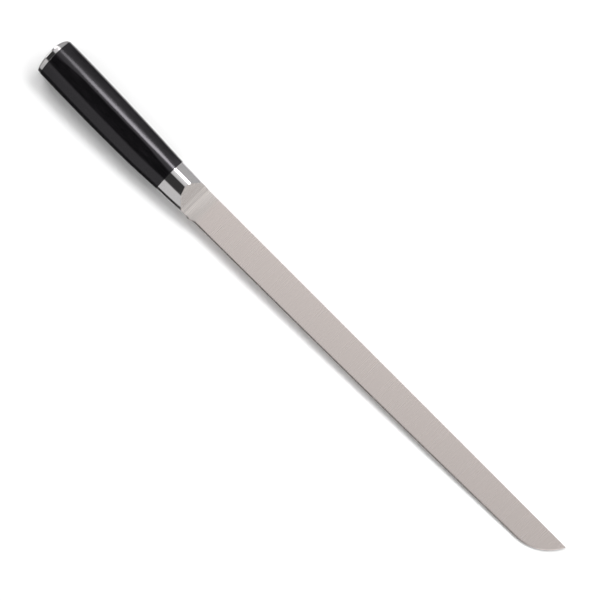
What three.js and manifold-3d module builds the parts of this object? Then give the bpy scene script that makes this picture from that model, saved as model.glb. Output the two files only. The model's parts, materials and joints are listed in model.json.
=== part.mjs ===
// A ham slicing knife, lying on its left side with its right face up, as it is put down on a table.
//
// Sizes are in millimetres. Each piece is drawn in the knife's own straight frame: x runs from the
// butt to the tip, y from the cutting edge to the spine, and z out of the right face, with z = 0 in
// the middle of the blade. The finished knife is then laid down on the table, which is z = 0.

import * as THREE from "three";
import { mergeVertices } from "three/addons/utils/BufferGeometryUtils.js";
import Module from "manifold-3d";

const { clamp, degToRad, lerp, smoothstep } = THREE.MathUtils;
const wasm = await Module();
wasm.setup();

// Lengths along the knife, one after the other from the butt to the tip
const CAP_LENGTH = 3.65;
const GRIP_LENGTH = 100.6;
const BOLSTER_LENGTH = 23.7;
const RICASSO_LENGTH = 8;
const EDGE_LENGTH = 304.3;

// Film of adhesive or weld metal between neighbouring pieces
const GAP = 0.3;

// Handle outline at six places: how far it reaches from the knife's axis towards the spine and the
// belly, up to the ridge on its right side and down to its round back
const BUTT = { spine: 12.4, belly: 14.3, ridge: 10.6, back: 9.6 };
const PALM = { spine: 12.4, belly: 15.05, ridge: 10.4, back: 9.3 };
const FINGER = { spine: 10.5, belly: 15.3, ridge: 9.3, back: 8.3 };
const SEAM = { spine: 9.3, belly: 14.2, ridge: 8.6, back: 7.7 };
const THROAT = { spine: 8.9, belly: 13.7, ridge: 8.2, back: 7.4 };
const SHOULDER = { spine: 8.1, belly: 12.85, ridge: 8.0, back: 7.2 };
const PALM_FROM_BUTT = 20;
const FINGER_TO_SEAM = 26;
const SEAM_TO_THROAT = 14;

// Handle section, in half widths across and half thicknesses up: on the right side a soft ridge is set
// towards the spine, with a flat on each side and a third, steeper flat down to the belly, which turns
// down a little more before its corner, and the back is one round curve
const SPINE_CORNER_UP = 0.49;
const RIDGE_ACROSS = 0.295;
const RIDGE_UP = 1.04;
const BELLY_EDGE_ACROSS = -0.355;
const BELLY_EDGE_UP = 0.82;
const BELLY_TURN_ACROSS = -0.845;
const BELLY_TURN_UP = 0.383;
const BELLY_CORNER_UP = 0.21;
const SPINE_ROUNDING = 0.09;
const RIDGE_ROUNDING = 0.25;
const BELLY_EDGE_ROUNDING = 0.15;
const BELLY_ROUNDING = 0.03;
const BACK_FULLNESS_ACROSS = 0.62;
const BACK_FULLNESS_DOWN = 0.56;
const GRIP_CURVE_STEPS = 7;
const GRIP_STEP = 5;

// Cap on the butt: its front falls back towards the belly, and further towards the spine
const CAP_RIM_RADIUS = 1.3;
const CAP_CROWN = 2.15;
const CAP_SKEW = 0.95;
const CAP_FACE_SHARES = [0.1, 0.4, 0.7];
const CAP_RIM_STEPS = 5;
const CAP_BOSS_LENGTH = 6;

// Bolster: ground hollow on both sides of the blade, whose end is let into a slot in its front
const BLADE_LET_IN = 6.2;
const HOLLOW_ANGLE = degToRad(37);
const HOLLOW_BEND = 4;
const HOLLOW_STEPS = 6;

// Blade
const BLADE_THICKNESS = 2;
const TIP_THICKNESS = 1.6;
const BLADE_HEIGHT = 20.4;
const EDGE_RISE = 3.1;
const EDGE_END_ANGLE = degToRad(1.09);
const TIP_RADIUS = 30;
const TIP_BLUNT = 0.6;
const HEEL_FROM_SHOULDER = 3;
const HEEL_DROP = 13.55;
const BEVEL_WIDTH = 0.72;
const TIP_BEVEL_WIDTH = 0.35;
const BEVEL_THICKNESS = 0.48;
const EDGE_THICKNESS = 0.1;
const LET_IN_STEPS = 3;
const HEEL_STEPS = 6;
const EDGE_STEPS = 8;
const TIP_STEPS = 14;

// Tang in two pieces: the blade's stub lies in a half lap at the front of a soft steel bar
const TANG_DROP = 2;
const STUB_HEIGHT = 10;
const STUB_IN_GRIP = 24;
const LAP_LENGTH = 20;
const LAP_THICKNESS = 1.5;
const BAR_HEIGHT = 8;
const BAR_THICKNESS = 3;

// Channel through the grip that the tang is bedded in
const CHANNEL_HEIGHT = 14;
const CHANNEL_THICKNESS = 7;
const CHANNEL_CURVE_STEPS = 10;

// Places along the knife that follow from those lengths
const seamX = CAP_LENGTH + GRIP_LENGTH;
const shoulderX = seamX + BOLSTER_LENGTH;
const bladeStartX = shoulderX - BLADE_LET_IN;
const heelX = shoulderX + HEEL_FROM_SHOULDER;
const edgeX = shoulderX + RICASSO_LENGTH;
const tipX = edgeX + EDGE_LENGTH;
const bossEndX = CAP_LENGTH + CAP_BOSS_LENGTH;
const stubEndX = seamX - STUB_IN_GRIP;
const tongueEndX = stubEndX + LAP_LENGTH;

// Faces of the lap: the stub is as thick as the blade, and the bar's tongue lies under it
const stubTopZ = BLADE_THICKNESS / 2;
const tongueTopZ = -BLADE_THICKNESS / 2 - GAP;
const barBottomZ = tongueTopZ - LAP_THICKNESS;
const barTopZ = barBottomZ + BAR_THICKNESS;
const channelZ = (stubTopZ + barBottomZ) / 2;

// Solids

function solidOf(geometry) {
  geometry.deleteAttribute("normal");
  geometry.deleteAttribute("uv");
  const closed = mergeVertices(geometry);
  return new wasm.Manifold(
    new wasm.Mesh({
      numProp: 3,
      vertProperties: closed.attributes.position.array,
      triVerts: new Uint32Array(closed.index.array),
    }),
  );
}

// Carries a section through stations. place turns the section's (v, w) at one into the knife's x, y, z.
function loft(section, stations, place, curveSegments = 1) {
  const steps = stations.length - 1;
  const geometry = new THREE.ExtrudeGeometry(section, {
    depth: steps,
    steps,
    curveSegments,
    bevelEnabled: false,
  });
  const position = geometry.attributes.position;
  for (let i = 0; i < position.count; i++) {
    const station = stations[Math.round(position.getZ(i))];
    position.setXYZ(i, ...place(position.getX(i), position.getY(i), station));
  }
  return solidOf(geometry);
}

function evenly(from, to, steps) {
  return Array.from({ length: steps + 1 }, (_, i) => lerp(from, to, i / steps));
}

// A flat bar on the tang's axis, higher and thicker by a clearance on each side
function tangBox(x0, x1, height, z0, z1, clearance = 0) {
  const depth = z1 - z0 + 2 * clearance;
  const geometry = new THREE.BoxGeometry(x1 - x0, height + 2 * clearance, depth);
  geometry.translate((x0 + x1) / 2, -TANG_DROP, (z0 + z1) / 2);
  return solidOf(geometry);
}

// A bar with half-round sides that fills the grip's channel, less a clearance
function channelPlug(x0, x1, clearance = 0) {
  const radius = CHANNEL_THICKNESS / 2 - clearance;
  const reach = (CHANNEL_HEIGHT - CHANNEL_THICKNESS) / 2;
  const section = new THREE.Shape();
  section.absarc(reach, 0, radius, -Math.PI / 2, Math.PI / 2);
  section.absarc(-reach, 0, radius, Math.PI / 2, (3 * Math.PI) / 2);
  const place = (v, w, x) => [x, v - TANG_DROP, w + channelZ];
  return loft(section, [x0, x1], place, CHANNEL_CURVE_STEPS);
}

// Handle outline and section, which the cap, the grip, the bolster and the blade's end all follow

const handleOutline = new THREE.CubicInterpolant(
  [0, PALM_FROM_BUTT, seamX - FINGER_TO_SEAM, seamX, seamX + SEAM_TO_THROAT, shoulderX],
  [BUTT, PALM, FINGER, SEAM, THROAT, SHOULDER].flatMap((place) => [
    place.spine,
    place.belly,
    place.ridge,
    place.back,
  ]),
  4,
);

function outlineAt(x) {
  const [spine, belly, ridge, back] = handleOutline.evaluate(x);
  return { spine, belly, ridge, back };
}

function gripSection() {
  const spineCorner = new THREE.Vector2(1, SPINE_CORNER_UP);
  const ridge = new THREE.Vector2(RIDGE_ACROSS, RIDGE_UP);
  const bellyEdge = new THREE.Vector2(BELLY_EDGE_ACROSS, BELLY_EDGE_UP);
  const bellyTurn = new THREE.Vector2(BELLY_TURN_ACROSS, BELLY_TURN_UP);
  const bellyCorner = new THREE.Vector2(-1, BELLY_CORNER_UP);
  const along = (from, to, across) => from.clone().lerp(to, across / Math.abs(to.x - from.x));
  const section = new THREE.Shape();
  section.moveTo(1, 0);
  section.quadraticCurveTo(...spineCorner, ...along(spineCorner, ridge, SPINE_ROUNDING));
  section.lineTo(...along(ridge, spineCorner, RIDGE_ROUNDING));
  section.quadraticCurveTo(...ridge, ...along(ridge, bellyEdge, RIDGE_ROUNDING));
  section.lineTo(...along(bellyEdge, ridge, BELLY_EDGE_ROUNDING));
  section.quadraticCurveTo(...bellyEdge, ...along(bellyEdge, bellyTurn, BELLY_EDGE_ROUNDING));
  section.lineTo(...bellyTurn);
  section.lineTo(...along(bellyCorner, bellyTurn, BELLY_ROUNDING));
  section.quadraticCurveTo(...bellyCorner, -1, 0);
  section.bezierCurveTo(-1, -BACK_FULLNESS_DOWN, -BACK_FULLNESS_ACROSS, -1, 0, -1);
  section.bezierCurveTo(BACK_FULLNESS_ACROSS, -1, 1, -BACK_FULLNESS_DOWN, 1, 0);
  return section;
}

function onGrip(v, w, x, inset = 0) {
  const { spine, belly, ridge, back } = outlineAt(x);
  const halfWidth = (spine + belly) / 2 - inset;
  const halfThickness = (w > 0 ? ridge : back) - inset;
  return [x, (spine - belly) / 2 + halfWidth * v, halfThickness * w];
}

function gripLoft(stations) {
  return loft(gripSection(), stations, onGrip, GRIP_CURVE_STEPS);
}

function gripStations(from, to) {
  return evenly(from, to, Math.ceil((to - from) / GRIP_STEP));
}

// Grip, cap and bolster

const gripXs = gripStations(CAP_LENGTH + GAP, seamX);
const bolsterXs = gripStations(seamX + GAP, shoulderX);

function handle() {
  return gripLoft(gripXs).subtract(channelPlug(0, shoulderX));
}

// The cap's rings: some on its face, each a share of the full width, then round the rim to the seam
function capRings() {
  const turns = evenly(0, Math.PI / 2, CAP_RIM_STEPS);
  return [
    ...CAP_FACE_SHARES.map((share) => ({ share, x: 0, inset: CAP_RIM_RADIUS })),
    ...turns.map((turn) => ({
      share: 1,
      x: CAP_RIM_RADIUS * (1 - Math.cos(turn)),
      inset: CAP_RIM_RADIUS * (1 - Math.sin(turn)),
    })),
    { share: 1, x: CAP_LENGTH, inset: 0 },
  ];
}

function onCap(v, w, { share, x, inset }) {
  const { spine, belly } = outlineAt(x);
  const middleY = (spine - belly) / 2;
  const [, rimY, rimZ] = onGrip(v, w, x, inset);
  const y = lerp(middleY, rimY, share);
  const off = (2 * (y - middleY)) / (spine + belly);
  const back = off ** 4 * (CAP_CROWN + CAP_SKEW * off);
  return [x + back * (1 - x / CAP_LENGTH), y, share * rimZ];
}

function endCap() {
  const plate = loft(gripSection(), capRings(), onCap, GRIP_CURVE_STEPS);
  const boss = channelPlug(CAP_LENGTH / 2, bossEndX, GAP);
  const socket = tangBox(CAP_LENGTH, bossEndX + GAP, BAR_HEIGHT, barBottomZ, barTopZ, GAP);
  return plate.add(boss).subtract(socket);
}

// What is ground away on one side of the blade, right for side 1 and left for side -1
function hollow(side) {
  const nose = BLADE_THICKNESS / 2;
  const outside = 2 * THROAT.ridge;
  const slope = Math.tan(HOLLOW_ANGLE);
  const slopeX = shoulderX - HOLLOW_BEND / 2;
  const bendZ = nose + (slope * HOLLOW_BEND) / 2;
  const outline = new THREE.Shape();
  outline.moveTo(shoulderX, side * nose);
  outline.quadraticCurveTo(slopeX, side * nose, shoulderX - HOLLOW_BEND, side * bendZ);
  outline.lineTo(slopeX - (outside - nose) / slope, side * outside);
  outline.lineTo(shoulderX + HOLLOW_BEND, side * outside);
  outline.lineTo(shoulderX + HOLLOW_BEND, side * nose);
  const reach = 2 * SEAM.belly;
  const geometry = new THREE.ExtrudeGeometry(outline, {
    depth: 2 * reach,
    curveSegments: HOLLOW_STEPS,
    bevelEnabled: false,
  });
  geometry.rotateX(Math.PI / 2);
  geometry.translate(0, reach, 0);
  return solidOf(geometry);
}

function bolster() {
  const tangSlot = tangBox(seamX, bladeStartX, STUB_HEIGHT, -stubTopZ, stubTopZ, GAP);
  const through = 4 * SEAM.belly;
  const bladeSlot = tangBox(bladeStartX - GAP, edgeX, through, -stubTopZ, stubTopZ, GAP);
  const collar = gripLoft(bolsterXs).subtract(hollow(1)).subtract(hollow(-1));
  return collar.subtract(tangSlot).subtract(bladeSlot);
}

// Blade: a long edge that curves up a little, and a round tip that meets it smoothly

const spineY = SHOULDER.spine;
const edgeY = spineY - BLADE_HEIGHT;
const tangentY = edgeY + EDGE_RISE;
const tipCentreY = tangentY + TIP_RADIUS * Math.cos(EDGE_END_ANGLE);
const tipCentreX = tipX - Math.sqrt(TIP_RADIUS ** 2 - (tipCentreY - spineY + TIP_BLUNT) ** 2);
const tangentX = tipCentreX + TIP_RADIUS * Math.sin(EDGE_END_ANGLE);
const halfRun = (tangentX - edgeX) / 2;
const longEdge = new THREE.QuadraticBezierCurve(
  new THREE.Vector2(edgeX, edgeY),
  new THREE.Vector2(edgeX + halfRun, tangentY - Math.tan(EDGE_END_ANGLE) * halfRun),
  new THREE.Vector2(tangentX, tangentY),
);

function tipArcY(x, radius) {
  return tipCentreY - Math.sqrt(Math.max(0, radius ** 2 - (x - tipCentreX) ** 2));
}

function topY(x) {
  return x < shoulderX ? outlineAt(x).spine : spineY;
}

function bottomY(x) {
  if (x < shoulderX) {
    return -outlineAt(x).belly;
  }
  if (x < heelX) {
    return lerp(-SHOULDER.belly, -HEEL_DROP, smoothstep(x, shoulderX, heelX));
  }
  if (x < edgeX) {
    return lerp(-HEEL_DROP, edgeY, smoothstep(x, heelX, edgeX));
  }
  return x < tangentX ? longEdge.getPoint((x - edgeX) / 2 / halfRun).y : tipArcY(x, TIP_RADIUS);
}

function bevelY(x) {
  const bottom = bottomY(x);
  const roundTip = clamp((x - tangentX) / (tipX - tangentX), 0, 1);
  const width = lerp(BEVEL_WIDTH, TIP_BEVEL_WIDTH, roundTip);
  const bevel = x < tangentX ? bottom + width : tipArcY(x, TIP_RADIUS - width);
  return Math.min(bevel, (bottom + topY(x)) / 2);
}

// Half the blade's thickness at a point of its side: full at the ricasso, and from the heel on a flat
// that slopes from the spine to the bevel and from the heel to the tip
const flatSlope = (BLADE_THICKNESS - BEVEL_THICKNESS) / 2 / (BLADE_HEIGHT - BEVEL_WIDTH);

function halfThickness(x, y) {
  const along = clamp((x - shoulderX) / (tipX - shoulderX), 0, 1);
  const atSpine = lerp(BLADE_THICKNESS, TIP_THICKNESS, along) / 2;
  const flat = Math.max(atSpine - flatSlope * (spineY - y), EDGE_THICKNESS / 2);
  return lerp(atSpine, flat, smoothstep(x, shoulderX, edgeX));
}

// The bevel takes as much off the thick heel, whose corners it eases, as off the edge
const bevelDrop = (BEVEL_THICKNESS - EDGE_THICKNESS) / 2;

function halfEdge(x) {
  const bevelled = bevelDrop * smoothstep(x, shoulderX, heelX);
  return Math.max(halfThickness(x, bevelY(x)) - bevelled, EDGE_THICKNESS / 2);
}

// Six corners in order round the section: v is 1 at the spine, 0 at the bevel and -1 at the edge
function bladeSection() {
  const corners = [[1, -1], [1, 1], [0, 2], [-1, 1], [-1, -1], [0, -2]];
  return new THREE.Shape(corners.map(([v, w]) => new THREE.Vector2(v, w)));
}

function bladePlate() {
  const tipTurn = Math.asin((tipX - tipCentreX) / TIP_RADIUS);
  const tipTurns = evenly(EDGE_END_ANGLE, tipTurn, TIP_STEPS);
  const xs = [
    ...evenly(bladeStartX, shoulderX, LET_IN_STEPS),
    ...evenly(shoulderX, heelX, HEEL_STEPS).slice(1),
    ...evenly(heelX, edgeX, HEEL_STEPS).slice(1),
    ...evenly(edgeX, tangentX, EDGE_STEPS).slice(1),
    ...tipTurns.slice(1).map((turn) => tipCentreX + TIP_RADIUS * Math.sin(turn)),
  ];
  return loft(bladeSection(), xs, (v, w, x) => {
    const y = [bottomY(x), bevelY(x), topY(x)][v + 1];
    const half = v < 0 ? halfEdge(x) : halfThickness(x, y);
    return [x, y, Math.sign(w) * half];
  });
}

function blade() {
  const stub = tangBox(stubEndX, shoulderX, STUB_HEIGHT, -stubTopZ, stubTopZ);
  return bladePlate().add(stub);
}

// Tang bar and the adhesive that fills the channel round the tang

function tangBar() {
  const startX = CAP_LENGTH + GAP;
  const bar = tangBox(startX, stubEndX - GAP, BAR_HEIGHT, barBottomZ, barTopZ);
  return bar.add(tangBox(startX, tongueEndX, BAR_HEIGHT, barBottomZ, tongueTopZ));
}

function epoxyBed() {
  const barRoom = tangBox(CAP_LENGTH, tongueEndX + GAP, BAR_HEIGHT, barBottomZ, barTopZ, GAP);
  const stubRoom = tangBox(stubEndX - GAP, shoulderX, STUB_HEIGHT, -stubTopZ, stubTopZ, GAP);
  return channelPlug(bossEndX + GAP, seamX, GAP).subtract(barRoom).subtract(stubRoom);
}

// The knife

const satinSteel = { color: 0xbdb8b3, metalness: 1, roughness: 0.42 };
const polishedSteel = { color: 0xc8c8ca, metalness: 1, roughness: 0.2 };
const softSteel = { color: 0x8f8f90, metalness: 1, roughness: 0.5 };
const blackWood = { color: 0x1b1a1d, metalness: 0, roughness: 0.35 };
const resin = { color: 0xb79a5f, metalness: 0, roughness: 0.4 };

function piece(name, solid, material) {
  const { vertProperties, triVerts } = solid.getMesh();
  const geometry = new THREE.BufferGeometry();
  geometry.setAttribute("position", new THREE.BufferAttribute(vertProperties, 3));
  geometry.setIndex(new THREE.BufferAttribute(triVerts, 1));
  geometry.computeVertexNormals();
  const mesh = new THREE.Mesh(geometry, new THREE.MeshStandardMaterial(material));
  mesh.name = name;
  return mesh;
}

const knife = new THREE.Group();
knife.add(
  piece("blade", blade(), satinSteel),
  piece("bolster", bolster(), polishedSteel),
  piece("tang_bar", tangBar(), softSteel),
  piece("epoxy_bed", epoxyBed(), resin),
  piece("handle", handle(), blackWood),
  piece("end_cap", endCap(), polishedSteel),
);

// Laid down, the knife touches the table with its tip and with the back of its handle
const restSlopes = gripXs.map((x) => (outlineAt(x).back - TIP_THICKNESS / 2) / (tipX - x));
knife.rotation.y = Math.atan(Math.max(...restSlopes));

const laid = new THREE.Box3().setFromObject(knife, true);
const middle = laid.getCenter(new THREE.Vector3());
knife.position.set(-middle.x, -middle.y, -laid.min.z);

const object = new THREE.Group();
object.add(knife);

export default object;
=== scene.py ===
# %% [markdown]
# # A ham knife in steel and black wood
#
# A ham knife is a long, narrow slicing knife. This one lies on a white table, right face up: a satin
# steel blade, a bolster that is ground hollow towards the blade, a handle of black laminated wood with
# a soft ridge along it, and a steel cap on the butt. The CAD model has the construction and the sizes.
# This lesson gives each piece its fine surface and its finish, in the same frame and in metres.

# %% Load the CAD model
import json
import math

import bmesh
import bpy
from mathutils import Matrix, Vector


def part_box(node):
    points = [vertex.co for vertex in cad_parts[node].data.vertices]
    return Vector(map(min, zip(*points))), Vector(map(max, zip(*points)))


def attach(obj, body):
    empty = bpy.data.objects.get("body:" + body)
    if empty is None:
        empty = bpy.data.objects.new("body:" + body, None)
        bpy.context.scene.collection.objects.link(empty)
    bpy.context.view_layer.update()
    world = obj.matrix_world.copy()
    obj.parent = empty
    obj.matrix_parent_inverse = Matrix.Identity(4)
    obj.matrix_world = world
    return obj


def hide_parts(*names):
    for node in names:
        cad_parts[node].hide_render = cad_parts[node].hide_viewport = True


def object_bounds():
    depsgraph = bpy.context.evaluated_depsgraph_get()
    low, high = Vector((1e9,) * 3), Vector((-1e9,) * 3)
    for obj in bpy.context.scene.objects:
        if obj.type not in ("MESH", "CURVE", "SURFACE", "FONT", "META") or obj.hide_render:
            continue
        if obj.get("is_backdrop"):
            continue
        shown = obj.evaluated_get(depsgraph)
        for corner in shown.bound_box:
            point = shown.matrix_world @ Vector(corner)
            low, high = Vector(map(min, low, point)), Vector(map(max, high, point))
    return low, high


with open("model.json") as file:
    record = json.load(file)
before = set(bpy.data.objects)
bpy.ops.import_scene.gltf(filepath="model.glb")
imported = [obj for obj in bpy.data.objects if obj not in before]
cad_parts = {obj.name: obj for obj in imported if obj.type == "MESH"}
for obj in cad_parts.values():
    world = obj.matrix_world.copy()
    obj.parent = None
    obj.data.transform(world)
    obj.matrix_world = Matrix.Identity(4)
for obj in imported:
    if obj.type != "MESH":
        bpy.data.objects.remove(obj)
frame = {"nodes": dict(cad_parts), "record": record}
cad_low, cad_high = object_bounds()
print("CAD nodes:", ", ".join(sorted(frame["nodes"])))

# %% [markdown]
# ## The knife's own straight frame
#
# Lying down, the knife leans: it touches the table with its tip and with the back of its handle. A
# maker draws it straight, so each piece is made straight first: x from the butt to the tip, y from the
# edge to the spine and z out of the right face, with z = 0 in the middle of the blade. One matrix then
# lays the finished meshes down. Its lean comes from the two flats of the blade that the record names,
# and its place from the blade's tip and from the tang bar, which lies just below the handle's axis.

# %% Lengths along the knife, from the butt to the tip
MM = 0.001

cap_length = 3.65 * MM
grip_length = 100.6 * MM
bolster_length = 23.7 * MM
ricasso_length = 8.0 * MM
edge_length = 304.3 * MM

seam_x = cap_length + grip_length
shoulder_x = seam_x + bolster_length
edge_x = shoulder_x + ricasso_length
tip_x = edge_x + edge_length
print(f"butt to tip {tip_x / MM:.1f} mm, handle and bolster {shoulder_x / MM:.1f} mm")

# %% Lay a straight mesh down where the CAD knife lies
blade_thickness = 2.0 * MM
tip_thickness = 1.6 * MM
bar_below_axis = 2.0 * MM

flats = {mount["name"]: Vector(mount["axis"]) for mount in frame["record"]["mounts"]}
up_from_blade = flats["blade_right_flat"] - flats["blade_left_flat"]
lean = math.atan2(up_from_blade.x, up_from_blade.z)
turned = Matrix.Rotation(lean, 4, "Y")

tip_top = turned @ Vector((tip_x, 0, tip_thickness / 2))
tip_bottom = turned @ Vector((tip_x, 0, -tip_thickness / 2))
blade_low, blade_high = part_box("blade")
bar_low, bar_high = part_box("tang_bar")
axis_y = (bar_low.y + bar_high.y) / 2 + bar_below_axis
shift = Vector((blade_high.x - tip_top.x, axis_y, blade_low.z - tip_bottom.z))
laid = Matrix.Translation(shift) @ turned
print(f"the knife leans {math.degrees(lean):.2f} degrees, its butt is at x = {(laid @ Vector()).x:.4f} m")

# %% [markdown]
# ## Arithmetic with nodes
#
# The shapes below follow rules, so Geometry Nodes make them, and a rule is mostly sums. Wiring each sum
# by hand hides it among the links. A small class keeps it readable: a Reading is a number somewhere in
# a tree, and arithmetic on readings adds the Math nodes and links that work it out.

# %% Nodes from plain arithmetic


def plug(tree, value, socket):
    """Link a reading or a socket to a socket, or set a plain value on it."""
    if isinstance(value, Reading):
        value = value.socket
    if isinstance(value, bpy.types.NodeSocket):
        tree.links.new(value, socket)
    else:
        socket.default_value = value


def add(tree, kind, feeds=None, **settings):
    """Add a node, with its settings, and feed its inputs by name or number."""
    node = tree.nodes.new(kind)
    for name, value in settings.items():
        setattr(node, name, value)
    for name, value in (feeds or {}).items():
        plug(tree, value, node.inputs[name])
    return node


class Reading:
    """A number in a node tree, on which sums can be done."""

    def __init__(self, tree, socket):
        self.tree = tree
        self.socket = socket

    def work_out(self, operation, *others):
        feeds = dict(enumerate((self, *others)))
        node = add(self.tree, "ShaderNodeMath", feeds, operation=operation)
        return Reading(self.tree, node.outputs[0])

    def __add__(self, other):
        return self.work_out("ADD", other)

    def __sub__(self, other):
        return self.work_out("SUBTRACT", other)

    def __mul__(self, other):
        return self.work_out("MULTIPLY", other)

    def __truediv__(self, other):
        return self.work_out("DIVIDE", other)

    def __rsub__(self, other):
        return self * -1 + other

    __radd__ = __add__
    __rmul__ = __mul__

    def least(self, other):
        return self.work_out("MINIMUM", other)

    def most(self, other):
        return self.work_out("MAXIMUM", other)

    def root(self):
        return self.most(0).work_out("SQRT")

    def ramp(self, start, end, shape="LINEAR"):
        """0 before start, 1 after end, and a straight or a smooth climb between them."""
        feeds = {"Value": self, "From Min": start, "From Max": end}
        node = add(self.tree, "ShaderNodeMapRange", feeds, interpolation_type=shape)
        return Reading(self.tree, node.outputs[0])

    def plateau(self, easing):
        """0 at 0 and at 1, and 1 in the middle, with a smooth climb and fall of this length."""
        return self.ramp(0, easing, "SMOOTHSTEP") * (1 - self.ramp(1 - easing, 1, "SMOOTHSTEP"))

    def window(self, opening, open_from, open_to, closing):
        """0 outside opening and closing, and 1 from open_from to open_to."""
        return self.ramp(opening, open_from) * (1 - self.ramp(open_to, closing))

    def between(self, start, end):
        """What lies this share of the way from start to end."""
        return start + self * (end - start)


# %% [markdown]
# ## One sweep for every piece
#
# A grip, a bolster and a blade are all long things: a section that changes as it goes along. So they
# share one kind of tree. It draws a straight line from 0 to 1, carries a closed section along it with
# Curve to Mesh, and then moves each point. A point starts at (v, w, t), with v across the section, w up
# it and t along the knife, and each piece has its own rule for turning that into x, y and z. A piece may
# have another section in its middle. Both are carried along, and each point eases from the one to the
# other and back, which works because the two have the same points in the same order.

# %% The sweep tree
section_easing = 0.25


def carry(tree, line, section):
    """The mesh of a section, carried along a line."""
    drawn = add(tree, "GeometryNodeObjectInfo", {"Object": section}).outputs["Geometry"]
    feeds = {"Curve": line, "Profile Curve": drawn, "Fill Caps": True}
    return add(tree, "GeometryNodeCurveToMesh", feeds).outputs[0]


def parts(tree, vector):
    """The three numbers of a vector."""
    return [Reading(tree, part) for part in add(tree, "ShaderNodeSeparateXYZ", {0: vector}).outputs]


def sweep_tree(name, sizes, rule):
    """A tree that carries a section along the knife, with named sizes, by a rule for each point."""
    tree = bpy.data.node_groups.new(name, "GeometryNodeTree")
    sockets = {"Section": "Object", "Middle section": "Object", "Rings": "Int"}
    sockets.update({"Finish": "Material", "Ground finish": "Material"})
    sockets.update({size: "Float" for size in sizes})
    for label, kind in sockets.items():
        tree.interface.new_socket(label, in_out="INPUT", socket_type="NodeSocket" + kind)
    tree.interface.new_socket("Piece", in_out="OUTPUT", socket_type="NodeSocketGeometry")
    given = add(tree, "NodeGroupInput").outputs

    line = add(tree, "GeometryNodeCurvePrimitiveLine", {"Start": (0, 0, 0), "End": (0, 0, 1)})
    rings = add(tree, "GeometryNodeResampleCurve", {"Curve": line.outputs[0], "Count": given["Rings"]})
    carried, middle_carried = (
        carry(tree, rings.outputs[0], given[label]) for label in ("Section", "Middle section")
    )
    place = add(tree, "GeometryNodeInputPosition").outputs[0]
    number = add(tree, "GeometryNodeInputIndex").outputs[0]
    same_point = {"Geometry": middle_carried, "Value": place, "Index": number}
    middle_place = add(tree, "GeometryNodeSampleIndex", same_point, data_type="FLOAT_VECTOR")
    v, w, t = parts(tree, place)
    middle_v, middle_w, _ = parts(tree, middle_place.outputs[0])
    in_middle = t.plateau(section_easing)
    v = in_middle.between(v, middle_v)
    w = in_middle.between(w, middle_w)
    x, y, z, ground = rule(v, w, t, {size: Reading(tree, given[size]) for size in sizes})

    marked = add(
        tree,
        "GeometryNodeStoreNamedAttribute",
        {"Geometry": carried, "Name": "ground", "Value": ground},
    )
    place = add(tree, "ShaderNodeCombineXYZ", {"X": x, "Y": y, "Z": z})
    moved = add(
        tree,
        "GeometryNodeSetPosition",
        {"Geometry": marked.outputs[0], "Position": place.outputs[0]},
    )
    finished = add_finish(tree, moved.outputs[0], given)
    out = add(tree, "NodeGroupOutput")
    tree.links.new(finished, out.inputs[0])
    return tree


# %% Crisp edges and finishes at the end of a sweep
crisp_edge = math.radians(24)
half_ground = 0.5


def add_finish(tree, shape, given):
    """Shade smooth but for crisp edges, then set the finish, and another where the piece is ground."""
    angle = Reading(tree, add(tree, "GeometryNodeInputMeshEdgeAngle").outputs["Unsigned Angle"])
    soft = add(tree, "FunctionNodeCompare", {"A": angle, "B": crisp_edge}, operation="LESS_THAN")
    shaded = add(tree, "GeometryNodeSetShadeSmooth", {0: shape, 2: soft.outputs[0]}, domain="EDGE")
    whole = add(tree, "GeometryNodeRealizeInstances", {0: shaded.outputs[0]})
    coated = add(tree, "GeometryNodeSetMaterial", {0: whole.outputs[0], "Material": given["Finish"]})
    ground = add(tree, "GeometryNodeInputNamedAttribute", {"Name": "ground"}, data_type="FLOAT")
    where = add(
        tree,
        "FunctionNodeCompare",
        {"A": ground.outputs[0], "B": half_ground},
        operation="GREATER_THAN",
    )
    feeds = {0: coated.outputs[0], "Selection": where.outputs[0], "Material": given["Ground finish"]}
    return add(tree, "GeometryNodeSetMaterial", feeds).outputs[0]


# %% [markdown]
# ## From a tree to a piece
#
# Even a crisp edge of a real knife is broken a little, and that thin rounding is what catches the light.
# A Bevel modifier after the sweep gives it. The result is kept as a plain mesh, and the one matrix lays
# the mesh itself down, so that its object stays at the origin.

# %% Turn a tree into a plain mesh that lies in place
rounds_to_an_edge = 2


def make_piece(name, tree, broken_edge, inputs):
    """Evaluate a sweep, break its crisp edges a little, lay it down and keep it as a plain mesh."""
    maker = bpy.data.objects.new(name + "_maker", bpy.data.meshes.new(name + "_maker"))
    bpy.context.scene.collection.objects.link(maker)
    sweep = maker.modifiers.new("sweep", "NODES")
    sweep.node_group = tree
    identifiers = {item.name: item.identifier for item in tree.interface.items_tree}
    for label, value in inputs.items():
        sweep[identifiers[label]] = value
    breaking = maker.modifiers.new("broken edges", "BEVEL")
    breaking.width = broken_edge
    breaking.segments = rounds_to_an_edge
    breaking.limit_method = "ANGLE"
    breaking.angle_limit = crisp_edge

    depsgraph = bpy.context.evaluated_depsgraph_get()
    mesh = bpy.data.meshes.new_from_object(maker.evaluated_get(depsgraph))
    bpy.data.objects.remove(maker)
    mesh.name = name
    mesh.transform(laid)
    outside = bmesh.new()
    outside.from_mesh(mesh)
    bmesh.ops.recalc_face_normals(outside, faces=outside.faces)
    outside.to_mesh(mesh)
    outside.free()
    piece = bpy.data.objects.new(name, mesh)
    bpy.context.scene.collection.objects.link(piece)
    print(f"{name}: {len(mesh.vertices)} points, {len(mesh.polygons)} faces")
    return piece


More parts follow.
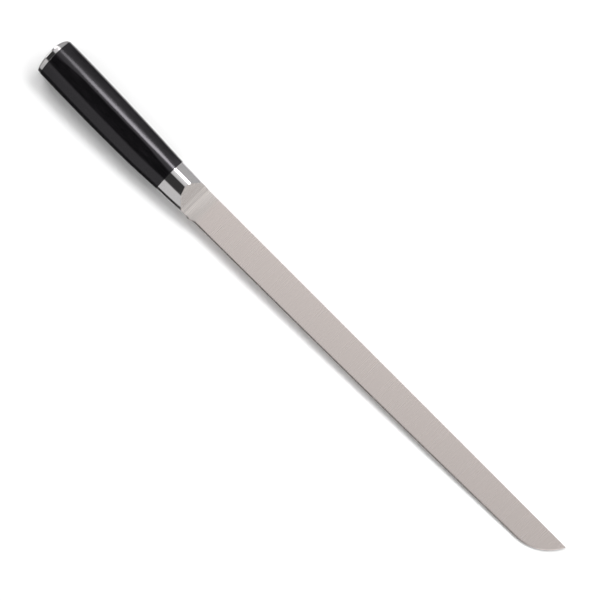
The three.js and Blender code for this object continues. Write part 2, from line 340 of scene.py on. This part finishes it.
# %% [markdown]
# ## The handle's section
#
# Cut across, the handle is a D. Its right side has a soft ridge, set towards the spine, with a flat on
# each side of it, and a steeper flat along the belly that turns down just before its corner. Its back,
# which lies in the fingers, is one round curve. The section is one unit to each side, and it is a Bezier
# curve through the ends of its roundings: a rounding is a quadratic curve that heads for its corner, and
# a flat is a straight run between two. It is drawn twice, because the wood is sanded by hand: its ridge
# lies a little nearer to the spine than the steel's, and is softer on that side.

# %% Corners and roundings of the section
spine_corner = Vector((1.0, 0.49))
belly_edge = Vector((-0.355, 0.82))
belly_turn = Vector((-0.845, 0.383))
belly_corner = Vector((-1.0, 0.21))
spine_rounding = 0.09
edge_rounding = 0.15
turn_rounding = 0.03
belly_rounding = 0.03
back_fullness_across = 0.62
back_fullness_down = 0.56


def towards(corner, other, across):
    """The point on the flat from a corner to another, this far across from the corner."""
    return corner.lerp(other, across / abs(other.x - corner.x))


def rounding(start, corner, end):
    """Bezier handles of the quadratic curve from start to end that heads for a corner."""
    return start.lerp(corner, 2 / 3), end.lerp(corner, 2 / 3)


# %% Draw the section
spine_side, belly_side, back = Vector((1, 0)), Vector((-1, 0)), Vector((0, -1))
same_place = 1e-6
points_to_a_curve = 14


def section_knots(ridge, ridge_spine_side, ridge_belly_side):
    """Points round the section in order, with their handles where they begin or end a curve."""
    corners = [
        (spine_side, spine_corner, towards(spine_corner, ridge, spine_rounding)),
        (
            towards(ridge, spine_corner, ridge_spine_side),
            ridge,
            towards(ridge, belly_edge, ridge_belly_side),
        ),
        (
            towards(belly_edge, ridge, edge_rounding),
            belly_edge,
            towards(belly_edge, belly_turn, edge_rounding),
        ),
        (
            towards(belly_turn, belly_edge, turn_rounding),
            belly_turn,
            towards(belly_turn, belly_corner, turn_rounding),
        ),
        (towards(belly_corner, belly_turn, belly_rounding), belly_corner, belly_side),
    ]
    curves = [(start, *rounding(start, corner, end), end) for start, corner, end in corners]
    curves += [
        (belly_side, Vector((-1, -back_fullness_down)), Vector((-back_fullness_across, -1)), back),
        (back, Vector((back_fullness_across, -1)), Vector((1, -back_fullness_down)), spine_side),
    ]
    knots = []
    for start, leaving, arriving, end in curves:
        if not knots or (knots[-1]["at"] - start).length > same_place:
            knots.append({"at": start})
        knots[-1]["leaving"] = leaving
        knots.append({"at": end, "arriving": arriving})
    knots[0]["arriving"] = knots.pop()["arriving"]
    return knots


def draw_section(name, knots):
    """A closed Bezier curve through the knots, straight wherever two of them have no handle."""
    curve = bpy.data.curves.new(name, "CURVE")
    curve.resolution_u = points_to_a_curve
    spline = curve.splines.new("BEZIER")
    spline.use_cyclic_u = True
    spline.bezier_points.add(len(knots) - 1)
    for i, (knot, point) in enumerate(zip(knots, spline.bezier_points)):
        before, after = knots[i - 1]["at"], knots[(i + 1) % len(knots)]["at"]
        point.handle_left_type = point.handle_right_type = "FREE"
        point.co = knot["at"].to_3d()
        point.handle_left = knot.get("arriving", knot["at"].lerp(before, 1 / 3)).to_3d()
        point.handle_right = knot.get("leaving", knot["at"].lerp(after, 1 / 3)).to_3d()
    drawing = bpy.data.objects.new(name, curve)
    bpy.context.scene.collection.objects.link(drawing)
    print(f"{name} has {len(knots)} points")
    return drawing


steel_ridge = {"ridge": Vector((0.295, 1.04)), "ridge_spine_side": 0.25, "ridge_belly_side": 0.25}
wood_ridge = {"ridge": Vector((0.35, 1.015)), "ridge_spine_side": 0.32, "ridge_belly_side": 0.12}
steel_section = draw_section("steel_section", section_knots(**steel_ridge))
wood_section = draw_section("wood_section", section_knots(**wood_ridge))

# %% [markdown]
# ## The handle's outline
#
# Seen from above, the handle is widest at the palm, stays full under the fingers and narrows towards the
# bolster. Four smooth lines say how far it reaches from the knife's axis at each place. A Float Curve
# node holds such a line well: a few heights, with a smooth curve through them. The grip, cap and
# bolster all read the same four lines, so they meet flush.

# %% Heights of the four outline lines
palm_x = 20 * MM
finger_x = seam_x - 26 * MM
throat_x = seam_x + 14 * MM
outline_places = [0, palm_x, finger_x, seam_x, throat_x, shoulder_x]
# In millimetres from the knife's axis
outline_heights = {
    "spine": (12.4, 12.3, 10.5, 9.3, 8.9, 8.1),
    "belly": (14.3, 15.0, 15.25, 14.2, 13.65, 12.85),
    "ridge": (10.57, 10.38, 9.3, 8.6, 8.2, 8.0),
    "back": (9.59, 9.29, 8.29, 7.69, 7.39, 7.2),
}
outline_top = 16.0


def outline_at(x):
    """How far the handle reaches at x to its spine, its belly, its ridge and its back."""
    reach = {}
    for side, heights in outline_heights.items():
        node = add(x.tree, "ShaderNodeFloatCurve", {"Value": x / shoulder_x})
        points = node.mapping.curves[0].points
        marks = zip(outline_places, heights)
        shares = [(place / shoulder_x, height / outline_top) for place, height in marks]
        points[0].location, points[1].location = shares[0], shares[-1]
        for share in shares[1:-1]:
            points.new(*share)
        node.mapping.update()
        reach[side] = Reading(x.tree, node.outputs[0]) * (outline_top * MM)
    return reach


def on_handle(x, v, w, inset=0.0):
    """y and z of a point of the section, at x, drawn in by an inset."""
    reach = outline_at(x)
    half_width = (reach["spine"] + reach["belly"]) * 0.5 - inset
    y = (reach["spine"] - reach["belly"]) * 0.5 + v * half_width
    z = w.most(0) * (reach["ridge"] - inset) + w.least(0) * (reach["back"] - inset)
    return y, z


# %% [markdown]
# ## Black laminated wood
#
# The handle's wood is thin veneers, soaked in black resin and pressed to one hard block. It isn't one
# flat black: the veneers' fibres run along the handle as hair-thin streaks, a little greyer than the
# resin between them. It is ground and buffed, so the resin has a satin gloss that the fibres dull. The
# gloss has a trace of violet in it, which is set on the shader's own tint.

# %% Shared helpers for finishes


def new_finish(name):
    """A material with a Principled shader, and its tree."""
    material = bpy.data.materials.new(name)
    material.use_nodes = True
    return material, material.node_tree, material.node_tree.nodes["Principled BSDF"]


def streaks(tree, stretch, detail=4.0, roughness=0.6):
    """A noise from 0 to 1 in Object coordinates, with so many turns to the metre along x, y and z."""
    place = add(tree, "ShaderNodeTexCoord").outputs["Object"]
    spread = add(tree, "ShaderNodeMapping", {"Vector": place, "Scale": stretch})
    feeds = {"Vector": spread.outputs[0], "Scale": 1.0, "Detail": detail, "Roughness": roughness}
    return Reading(tree, add(tree, "ShaderNodeTexNoise", feeds).outputs["Fac"])


def blend_colours(tree, share, first, second):
    """A colour between two, by a share. A colour is three numbers or a socket."""
    first, second = ((*colour, 1) if isinstance(colour, tuple) else colour for colour in (first, second))
    return add(tree, "ShaderNodeMix", {0: share, 6: first, 7: second}, data_type="RGBA").outputs[2]


def bump(tree, height, depth):
    """Normals of a surface with so deep a relief."""
    return add(tree, "ShaderNodeBump", {"Strength": 1.0, "Distance": depth, "Height": height}).outputs[0]


# %% The wood's finish


def black_wood():
    material, tree, shader = new_finish("black_laminated_wood")
    fibres = streaks(tree, (60, 2600, 2600))
    veneers = streaks(tree, (12, 420, 420), detail=2.0)
    fibre = fibres.ramp(0.42, 0.72) * veneers.ramp(0.25, 0.75)
    black = blend_colours(tree, fibre, (0.001, 0.001, 0.0013), (0.014, 0.012, 0.015))
    plug(tree, black, shader.inputs["Base Color"])
    plug(tree, fibre * 0.08 + 0.20, shader.inputs["Roughness"])
    shader.inputs["IOR"].default_value = 1.54
    shader.inputs["Specular Tint"].default_value = (0.97, 0.93, 1.0, 1)
    plug(tree, bump(tree, fibres, 0.002 * MM), shader.inputs["Normal"])
    return material


wood_finish = black_wood()

# %% [markdown]
# ## The grip
#
# The grip is the plain case of the sweep: the section, carried from the cap's seam to the bolster's. At
# both seams it is flush with the steel. Between them it has the wood's own section, and its rims fall
# away a little, because sanding by hand rounds them. A modelled fall shows better than a shading trick:
# it bends the reflections along the rims, and it stays in the mesh itself.

# %% Make the grip
rim_easing = 0.1
top_easing = 0.1
spine_rim_start = 0.55
spine_rim_fall = 0.055
belly_rim_start = -0.7
belly_rim_fall = 0.008
grip_edge = 0.12 * MM
hairline = 0.03 * MM


def grip_rule(v, w, t, size):
    """Where a point of the grip goes. No part of it is ground."""
    x = t.between(size["Start"], size["End"])
    spine_rim = v.ramp(spine_rim_start, 1)
    belly_rim = v.ramp(belly_rim_start, -1)
    fall = spine_rim * spine_rim * spine_rim_fall + belly_rim * belly_rim * belly_rim_fall
    fall = fall * t.plateau(rim_easing) * w.ramp(0, top_easing)
    y, z = on_handle(x, v, w - fall)
    return x, y, z, 0.0


grip_tree = sweep_tree("grip", ["Start", "End"], grip_rule)
grip = make_piece(
    "grip",
    grip_tree,
    grip_edge,
    {
        "Section": steel_section,
        "Middle section": wood_section,
        "Rings": 90,
        "Finish": wood_finish,
        "Ground finish": wood_finish,
        "Start": cap_length + hairline,
        "End": seam_x,
    },
)

# %% [markdown]
# ## Two steel finishes
#
# The blade is ground on a belt that runs from the spine to the edge, which leaves fine lines across it
# and a soft satin sheen. The hollow and the short flat in front of it are ground on a wheel instead, and
# are a little greyer, so the satin finish changes its tone where the edge starts. Their colour is also set
# a little darker than the steel's: painted shade, which tones down the bright reflection they catch. The
# bolster and the cap are polished, so they mirror the room, with only a trace of lines left.

# %% Steel finishes
edge_start = (laid @ Vector((edge_x, 0, 0))).x
tone_easing = 2.5 * MM


def satin_steel():
    material, tree, shader = new_finish("satin_steel")
    lines = streaks(tree, (5200, 45, 45))
    bands = streaks(tree, (160, 14, 14), detail=3.0)
    tone = lines * 0.55 + bands * 0.45
    belt_ground = blend_colours(tree, tone, (0.866, 0.782, 0.748), (0.89, 0.802, 0.768))
    # The hollow and the flat before the edge: a greyer tone, and also a little darker, which is painted
    # shade that tones down the bright reflection they catch
    grey_tone_and_painted_shade = blend_colours(tree, tone, (0.815, 0.76, 0.732), (0.835, 0.78, 0.75))
    along = parts(tree, add(tree, "ShaderNodeTexCoord").outputs["Object"])[0]
    on_edge = along.ramp(edge_start - tone_easing, edge_start + tone_easing, "SMOOTHSTEP")
    plug(tree, blend_colours(tree, on_edge, grey_tone_and_painted_shade, belt_ground), shader.inputs["Base Color"])
    plug(tree, lines * 0.04 + bands * 0.04 + 0.23, shader.inputs["Roughness"])
    plug(tree, bump(tree, lines, 0.0006 * MM), shader.inputs["Normal"])
    shader.inputs["Metallic"].default_value = 1.0
    return material


def polished_steel():
    material, tree, shader = new_finish("polished_steel")
    lines = streaks(tree, (4200, 90, 90))
    smears = streaks(tree, (220, 220, 220), detail=3.0)
    bright = blend_colours(tree, lines, (0.63, 0.615, 0.62), (0.70, 0.685, 0.69))
    plug(tree, bright, shader.inputs["Base Color"])
    plug(tree, lines * 0.06 + smears * 0.04 + 0.08, shader.inputs["Roughness"])
    plug(tree, bump(tree, lines, 0.0004 * MM), shader.inputs["Normal"])
    shader.inputs["Metallic"].default_value = 1.0
    return material


satin_finish = satin_steel()
polished_finish = polished_steel()

# %% [markdown]
# ## The cap
#
# The cap closes the butt. It follows the handle's section and turns over to its face in a quarter round.
# Seen from above the face is a flat curve that falls back towards both rims, further at the spine. It
# could be a filled end, but one big face shades badly where it bends. So two fifths of the rings lie on
# the face and close in on a small hub, two fifths make the quarter round, and the rest make the side.

# %% Make the cap
rim_radius = 1.3 * MM
cap_crown = 2.15 * MM
cap_skew = 0.95 * MM
face_share = 0.4
rim_share = 0.8
hub_size = 0.04
cap_edge = 0.06 * MM


def cap_rule(v, w, t, size):
    """Where a point of the cap goes. No part of it is ground."""
    quarter = t.ramp(face_share, rim_share) * (math.pi / 2)
    rim_x = size["Rim radius"] * (1 - quarter.work_out("COSINE"))
    flat_x = rim_x + t.ramp(rim_share, 1) * (size["End"] - size["Rim radius"])
    inset = size["Rim radius"] * (1 - quarter.work_out("SINE"))
    y, z = on_handle(flat_x, v, w, inset)
    reach = outline_at(flat_x)
    middle_y = (reach["spine"] - reach["belly"]) * 0.5
    half_width = (reach["spine"] + reach["belly"]) * 0.5
    face = t.ramp(0, face_share).between(hub_size, 1)
    y = middle_y + (y - middle_y) * face
    z = z * face
    off = (y - middle_y) / half_width
    front = off * off * off * off * (size["Crown"] + off * cap_skew)
    return flat_x + front * (1 - flat_x / size["End"]), y, z, 0.0


cap_tree = sweep_tree("cap", ["End", "Rim radius", "Crown"], cap_rule)
end_cap = make_piece(
    "cap",
    cap_tree,
    cap_edge,
    {
        "Section": steel_section,
        "Middle section": steel_section,
        "Rings": 41,
        "Finish": polished_finish,
        "Ground finish": polished_finish,
        "End": cap_length,
        "Rim radius": rim_radius,
        "Crown": cap_crown,
    },
)

# %% [markdown]
# ## The bolster
#
# The bolster carries the handle's section on in steel. In front it is ground hollow on both sides, down
# to the thickness of the blade, which comes out of it at the hollow's foot. The grinding leaves a line
# that is furthest back on the ridge. A cut would leave that line ragged. Instead each lengthwise row of
# points runs along the handle's surface up to the line, where the surface and the hollow meet, and then
# down the hollow. The line's place is found in two rounds: the surface's height says where the hollow
# is as high, and the height there says it again, a little better.

# %% The hollow
hollow_angle = math.radians(37)
hollow_slope = math.tan(hollow_angle)
hollow_bend = 4.0 * MM
nose = blade_thickness / 2
bend_start_x = shoulder_x - hollow_bend
bend_height = hollow_slope * hollow_bend / 2


def hollow_height(x):
    """Half the thickness that the hollow leaves at x: a slope that bends smoothly into the blade."""
    bend = (shoulder_x - x).most(0).least(hollow_bend)
    straight = (bend_start_x - x).most(0)
    return nose + bend * bend * (bend_height / hollow_bend**2) + straight * hollow_slope


def hollow_x(height):
    """Where the hollow is this high."""
    over = height - nose
    bend = (over / bend_height).root().least(1) * hollow_bend
    straight = (over - bend_height).most(0) / hollow_slope
    return shoulder_x - bend - straight


# %% Make the bolster
line_share = 0.5
line_margin = 1.0 * MM
line_rounds = 2
bolster_edge = 0.05 * MM
ground_from = line_share - 0.002
ground_to = line_share + 0.001


def bolster_rule(v, w, t, size):
    """Where a point of the bolster goes, and whether it lies on the ground hollow."""
    height = on_handle(size["Throat"], v, w)[1].work_out("ABSOLUTE")
    for _ in range(line_rounds):
        line_x = hollow_x(height).least(size["End"] - line_margin)
        height = on_handle(line_x, v, w)[1].work_out("ABSOLUTE")
    behind = t.ramp(0, line_share).between(size["Start"], line_x)
    x = behind + t.ramp(line_share, 1) * (size["End"] - line_x)
    y, z = on_handle(x, v, w)
    limit = hollow_height(x)
    return x, y, z.least(limit).most(limit * -1), t.ramp(ground_from, ground_to)


bolster_tree = sweep_tree("bolster", ["Start", "Throat", "End"], bolster_rule)
bolster = make_piece(
    "bolster_collar",
    bolster_tree,
    bolster_edge,
    {
        "Section": steel_section,
        "Middle section": steel_section,
        "Rings": 81,
        "Finish": polished_finish,
        "Ground finish": satin_finish,
        "Start": seam_x + hairline,
        "Throat": throat_x,
        "End": shoulder_x,
    },
)

# %% [markdown]
# ## The blade
#
# The blade comes out of the bolster at the foot of the hollow and runs out flat. Its spine is straight.
# Its lower side swells to a small heel, steps up to the edge, rises slowly along it and turns up to the
# tip in one round arc. A narrow bevel starts at the heel, follows the edge and narrows round the tip. All
# of this is a rule too: in its section v is 1 at the spine, 0 at the top of the bevel and -1 at the edge,
# and w only tells right from left.

# %% The blade's section
# Close together where the blade bends, or where an edge is broken
blade_rows = [1, 0.995, 0.985, 0.97, 0.95, 0.92, 0.88, 0.82, 0.74, 0.62, 0.5, 0.38, 0.28, 0.22, 0.18]
blade_rows += [0.15, 0.12, 0.095, 0.07, 0.05, 0.03, 0.012, 0, -0.12, -0.3, -0.55, -0.8, -1]
blade_curve = bpy.data.curves.new("blade_section", "CURVE")
outline = blade_curve.splines.new("POLY")
outline.use_cyclic_u = True
corners = [(row, 1) for row in blade_rows] + [(row, -1) for row in reversed(blade_rows)]
outline.points.add(len(corners) - 1)
for point, corner in zip(outline.points, corners):
    point.co = (*corner, 0, 1)
blade_section = bpy.data.objects.new("blade_section", blade_curve)
bpy.context.scene.collection.objects.link(blade_section)
print(f"the blade's section has {len(corners)} points")

# %% Sizes of the blade
spine_y = outline_heights["spine"][-1] * MM
shoulder_drop = outline_heights["belly"][-1] * MM
blade_height = 20.4 * MM
edge_rise = 3.1 * MM
heel_drop = 13.55 * MM
edge_angle = math.radians(1.09)
tip_radius = 30 * MM
tip_blunt = 0.6 * MM
step_length = 5.0 * MM
bevel_width = 0.72 * MM
tip_bevel_width = 0.35 * MM
bevel_thickness = 0.48 * MM
edge_thickness = 0.1 * MM

heel_x = edge_x - step_length
bevel_drop = (bevel_thickness - edge_thickness) / 2
edge_drop = blade_height - spine_y
tangent_y = edge_rise - edge_drop
arc_y = tangent_y + tip_radius * math.cos(edge_angle)
arc_x = tip_x - math.sqrt(tip_radius**2 - (arc_y - spine_y + tip_blunt) ** 2)
tangent_x = arc_x + tip_radius * math.sin(edge_angle)
edge_pull_y = tangent_y - math.tan(edge_angle) * (tangent_x - edge_x) / 2
tip_turn = math.asin((tip_x - arc_x) / tip_radius)
flat_slope = (blade_thickness - bevel_thickness) / 2 / (blade_height - bevel_width)
print(f"the edge runs {(tangent_x - edge_x) / MM:.1f} mm before the tip turns up")

# %% The blade's rule
heel_rings, step_rings, edge_rings, tip_rings = 14, 18, 28, 48
blade_rings = heel_rings + step_rings + edge_rings + tip_rings
arc_begins = 0.001


def stretches(t):
    """How far t has come along the heel, the step, the long edge and the tip."""
    done = 0
    shares = []
    for rings in (heel_rings, step_rings, edge_rings, tip_rings):
        shares.append(t.ramp(done / blade_rings, (done + rings) / blade_rings))
        done += rings
    return shares


def blade_rule(v, w, t, size):
    """Where a point of the blade goes. All of it has the same finish."""
    heel, step, edge, tip = stretches(t)
    turn = tip.between(edge_angle, tip_turn)
    x = (
        heel.between(size["Start"], heel_x)
        + step * (edge_x - heel_x)
        + edge * (tangent_x - edge_x)
        + (turn.work_out("SINE") - math.sin(edge_angle)) * tip_radius
    )
    bottom = (
        heel.ramp(0, 1, "SMOOTHSTEP").between(-shoulder_drop, -heel_drop)
        + step.ramp(0, 1, "SMOOTHSTEP") * (heel_drop - edge_drop)
        + edge * (1 - edge) * (2 * (edge_pull_y + edge_drop))
        + edge * edge * (tangent_y + edge_drop)
        + (math.cos(edge_angle) - turn.work_out("COSINE")) * tip_radius
    )
    from_arc = x - arc_x
    inner_radius = tip_radius - x.ramp(tangent_x, tip_x).between(bevel_width, tip_bevel_width)
    inner_arc = arc_y - (inner_radius * inner_radius - from_arc * from_arc).root()
    on_arc = tip.ramp(0, arc_begins)
    bevel = on_arc.between(bottom + bevel_width, inner_arc).least((bottom + spine_y) * 0.5)
    y = bevel + v.most(0) * (spine_y - bevel) + v.least(0) * (bevel - bottom)

    along = x.ramp(shoulder_x, tip_x)
    at_spine = along.between(blade_thickness / 2, tip_thickness / 2)
    grinding = x.ramp(shoulder_x, edge_x, "SMOOTHSTEP")

    def half_at(height):
        flat = (at_spine - (spine_y - height) * flat_slope).most(edge_thickness / 2)
        return grinding.between(at_spine, flat)

    at_bevel = half_at(bevel)
    bevelled = x.ramp(shoulder_x, heel_x, "SMOOTHSTEP") * bevel_drop
    at_edge = (at_bevel - bevelled).most(edge_thickness / 2)
    thinned = v.least(0) * -1 * (at_bevel - at_edge)
    return x, y, w * (half_at(y.most(bevel)) - thinned), 0.0


# %% Make the blade
flush_overlap = 0.2 * MM
spine_edge = 0.12 * MM
blade_tree = sweep_tree("blade", ["Start"], blade_rule)
blade = make_piece(
    "slicing_blade",
    blade_tree,
    spine_edge,
    {
        "Section": blade_section,
        "Middle section": blade_section,
        "Rings": blade_rings + 1,
        "Finish": satin_finish,
        "Ground finish": satin_finish,
        "Start": shoulder_x - flush_overlap,
    },
)

# %% [markdown]
# ## What lies inside
#
# The tang and its bed of resin don't show, but they are part of the knife, so their CAD shapes stay and
# get a finish of their own: dark steel as it comes from the mill, and cloudy amber resin.

# %% Finishes of the inner pieces


def rolled_steel():
    material, tree, shader = new_finish("rolled_steel")
    scale = streaks(tree, (300, 300, 300), detail=6.0)
    grey = blend_colours(tree, scale, (0.16, 0.155, 0.15), (0.34, 0.335, 0.33))
    plug(tree, grey, shader.inputs["Base Color"])
    plug(tree, scale * 0.25 + 0.40, shader.inputs["Roughness"])
    plug(tree, bump(tree, scale, 0.02 * MM), shader.inputs["Normal"])
    shader.inputs["Metallic"].default_value = 1.0
    return material


def cured_resin():
    material, tree, shader = new_finish("cured_resin")
    cloud = streaks(tree, (240, 240, 240), detail=3.0)
    amber = blend_colours(tree, cloud, (0.50, 0.36, 0.15), (0.62, 0.48, 0.24))
    plug(tree, amber, shader.inputs["Base Color"])
    plug(tree, cloud * 0.2 + 0.25, shader.inputs["Roughness"])
    plug(tree, bump(tree, cloud, 0.03 * MM), shader.inputs["Normal"])
    return material


for node, finish in (("tang_bar", rolled_steel()), ("epoxy_bed", cured_resin())):
    frame["nodes"][node].data.materials.clear()
    frame["nodes"][node].data.materials.append(finish)
    print(f"{node} is finished in {finish.name}")

# %% [markdown]
# ## One knife
#
# Nothing on the knife moves, so every piece rides on its one body. Each stands for the CAD node whose
# fine surface it is, and hides that node. The three drawn sections have done their work and go.

# %% Tie each piece to the frame
standing_for = {
    "blade": (blade, "blade_steel"),
    "bolster": (bolster, "polished_steel"),
    "handle": (grip, "black_laminated_wood"),
    "end_cap": (end_cap, "polished_steel"),
}
for node, (piece, slot) in standing_for.items():
    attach(piece, "root")
    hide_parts(node)
    print(f"{piece.name} stands for {node}")
for drawing in (steel_section, wood_section, blade_section):
    bpy.data.objects.remove(drawing)

# %% [markdown]
# ## The table and the light
#
# The table is plain white. Steel shows what is round it, so the room matters as much as the steel does. A
# long soft lamp hangs on the spine's side, under a pale ceiling. On the edge's side there is a pale wall,
# and above it a dark screen, which draws the dark band along the bolster. Soft lights at both ends of
# the room, where the knife hardly mirrors them, keep the table white. The lamp is an area light. The
# rest is a world, whose level is read from the angle across the knife and from how far along it a ray
# points.

# %% The table


def white_table():
    material, tree, shader = new_finish("white_table")
    shader.inputs["Roughness"].default_value = 0.9
    shader.inputs["Specular IOR Level"].default_value = 0.0
    grain = streaks(tree, (40, 40, 40), detail=2.0)
    white = blend_colours(tree, grain, (0.94, 0.94, 0.94), (0.95, 0.95, 0.95))
    plug(tree, white, shader.inputs["Base Color"])
    return material


table_half = 3.0
table_mesh = bpy.data.meshes.new("table")
table_corners = [(x, y, 0) for x, y in ((-1, -1), (1, -1), (1, 1), (-1, 1))]
table_mesh.from_pydata([Vector(c) * table_half for c in table_corners], [], [(0, 1, 2, 3)])
table_mesh.materials.append(white_table())
table = bpy.data.objects.new("table", table_mesh)
bpy.context.scene.collection.objects.link(table)
table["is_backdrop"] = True
print(f"the table is {2 * table_half:.0f} m wide")

# %% The room
# Degrees across the knife, from low on the edge's side to low on the spine's, and the level there
room_stops = [
    (-90, 0.02),
    (-75, 0.02),
    (-71, 0.75),
    (-7, 0.75),
    (0, 0.745),
    (12, 0.83),
    (26, 0.94),
    (50, 0.98),
    (53, 0.48),
    (66, 0.48),
    (76, 0.14),
    (90, 0.10),
]
screen_stops = (-52, -46, -13, -7)
side_stops = (12, 20, 54, 60)
# How far along the knife a ray points: 0 straight across it, 1 to the tip and -1 to the butt
screen_end = (0.24, 0.33)
wall_end = (0.12, 0.25)
side_reach = (0.42, 0.55, 0.8, 0.93)
end_switch = (-0.01, 0.01)
butt_fade = (0.25, 0.45)
tip_fade = (0.08, 0.38)
# How much darker or lighter
screen_dark = 0.94
screen_open = 0.85
butt_fade_depth = 0.85
tip_fade_depth = 0.37
tip_side_light = 2.0
butt_side_light = 6.0
belly_side_share = 0.45


def pale_room():
    """A world of bands along the knife: a level for each angle across it, dimmed or lit towards its ends."""
    world = bpy.data.worlds.new("pale_room")
    world.use_nodes = True
    tree = world.node_tree
    towards_sky = add(tree, "ShaderNodeTexCoord").outputs["Generated"]
    along, across, up = parts(tree, towards_sky)
    angle = across.work_out("ARCTAN2", up) * (180 / math.pi)
    ramp_node = add(tree, "ShaderNodeValToRGB", {"Fac": angle.ramp(-90, 90)})
    ramp = ramp_node.color_ramp
    stops = [((degrees + 90) / 180, (level, level, level, 1)) for degrees, level in room_stops]
    ramp.elements[0].position, ramp.elements[0].color = stops[0]
    ramp.elements[1].position, ramp.elements[1].color = stops[-1]
    for position, colour in stops[1:-1]:
        ramp.elements.new(position).color = colour
    above_wall = angle.ramp(*screen_stops[:2])
    screen = above_wall.most(along.ramp(*wall_end)) * (1 - angle.ramp(*screen_stops[2:]))
    screen = screen * (screen_dark - along.ramp(*screen_end) * above_wall * screen_open)
    side_light = along.ramp(*end_switch).between(butt_side_light, tip_side_light)
    at_ends = along.work_out("ABSOLUTE").window(*side_reach) * side_light
    on_sides = angle.window(*side_stops) + (angle * -1).window(*side_stops) * belly_side_share
    fade = 1 - (along * -1).ramp(*butt_fade) * butt_fade_depth - along.ramp(*tip_fade) * tip_fade_depth
    level = fade * (1 - screen) + at_ends * on_sides
    plug(tree, ramp_node.outputs[0], tree.nodes["Background"].inputs["Color"])
    plug(tree, level, tree.nodes["Background"].inputs["Strength"])
    return world


bpy.context.scene.world = pale_room()
print(f"the room has {len(room_stops)} levels from the edge's side to the spine's")

# %% The lamp
# Degrees from straight above, towards the spine's side
lamp_from, lamp_to = 33.5, 50.5
lamp_distance = 1.6
lamp_start, lamp_end = -0.37, 0.50
lamp_radiance = 9.5
lamp_middle = math.radians((lamp_from + lamp_to) / 2)
lamp_width = 2 * lamp_distance * math.tan(math.radians(lamp_to - lamp_from) / 2)
lamp_data = bpy.data.lights.new("long_lamp", "AREA")
lamp_data.shape = "RECTANGLE"
lamp_data.size = lamp_end - lamp_start
lamp_data.size_y = lamp_width
lamp_data.energy = lamp_radiance * math.pi * lamp_data.size * lamp_width
lamp = bpy.data.objects.new("long_lamp", lamp_data)
lamp.location = Vector((0, math.sin(lamp_middle), math.cos(lamp_middle))) * lamp_distance
lamp.location.x = (lamp_start + lamp_end) / 2
lamp.rotation_euler = (-lamp_middle, 0, 0)
bpy.context.scene.collection.objects.link(lamp)
print(f"the lamp is {lamp_width:.2f} m wide and gives {lamp_data.energy:.1f} W")

# %% [markdown]
# ## The camera
#
# The camera looks straight down from about a metre, with the knife running from the upper left corner
# of the picture to the lower right one.

# %% The camera
camera_height = 1.1
camera_turn = math.radians(45)
view_width = 372.5 * MM
aim_x = 215.45 * MM
aim = laid @ Vector((aim_x, 0, 0))
camera_data = bpy.data.cameras.new("camera")
camera_data.sensor_width = 36.0
camera_data.lens = camera_data.sensor_width * camera_height / view_width
camera = bpy.data.objects.new("camera", camera_data)
camera.location = (aim.x, aim.y, camera_height)
camera.rotation_euler = (0, 0, camera_turn)
bpy.context.scene.collection.objects.link(camera)
bpy.context.scene.camera = camera
bpy.context.scene.view_settings.view_transform = "Standard"
print(f"lens {camera_data.lens:.1f} mm, {camera_height} m above the table")

# %% [markdown]
# ## The knife's size, before and after
#
# A finish must not change the knife's size. The box of the CAD model, taken at the start, and the box of
# the finished pieces are written side by side, so that they can be compared.

# %% Measure and finish
made_low, made_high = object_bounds()
for name, size in (("CAD", cad_high - cad_low), ("finished", made_high - made_low)):
    print(f"{name} box: {size.x:.4f} by {size.y:.4f} by {size.z:.4f} m")
